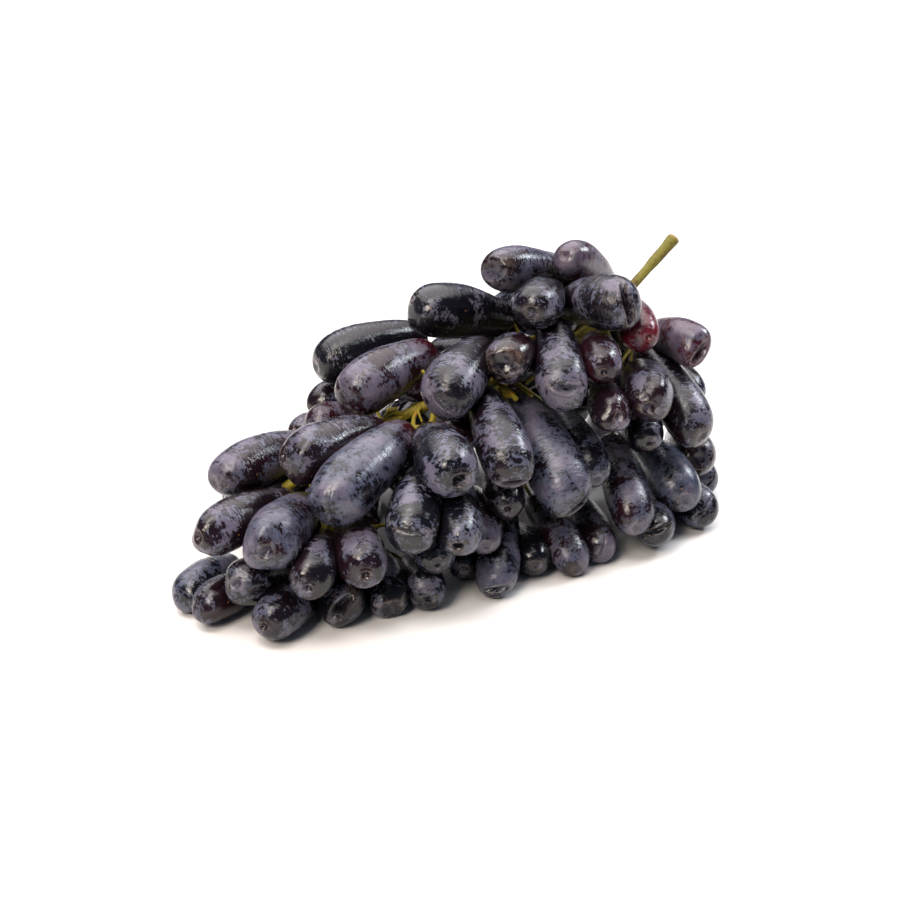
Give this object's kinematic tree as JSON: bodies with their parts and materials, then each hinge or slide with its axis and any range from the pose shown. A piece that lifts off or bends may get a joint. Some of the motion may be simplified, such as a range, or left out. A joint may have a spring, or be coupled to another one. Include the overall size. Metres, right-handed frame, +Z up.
{
  "type": "bunch of grapes",
  "caption": "Bunch of long, finger-shaped black grapes with dimpled blunt tips, lying on its side with a short cut stalk rising at one end.",
  "frame": {"origin": "centre of the bunch's bounding box, on the surface it lies on", "axes": "+Z up, +X to the right and towards the cut end of the stalk, +Y away from the side that the picture shows"},
  "size_m": [0.1896, 0.1746, 0.1006],
  "materials": {
    "berry_skin": "near-black blue skin with a dull bloom, rubbed to a gloss in patches",
    "stalk": "olive green to yellow-green stalk with brown streaks"
  },
  "bodies": {
    "root": {"stem": "stalk", "berries_spray_01": "berry_skin", "berries_spray_02": "berry_skin", "berries_spray_03": "berry_skin", "berries_spray_04": "berry_skin", "berries_spray_05": "berry_skin", "berries_spray_06": "berry_skin", "berries_spray_07": "berry_skin", "berries_spray_08": "berry_skin", "berries_spray_09": "berry_skin", "berries_spray_10": "berry_skin", "berries_spray_11": "berry_skin", "berries_spray_12": "berry_skin", "berries_spray_13": "berry_skin", "berries_spray_14": "berry_skin", "berries_spray_15": "berry_skin"}
  },
  "joints": []
}
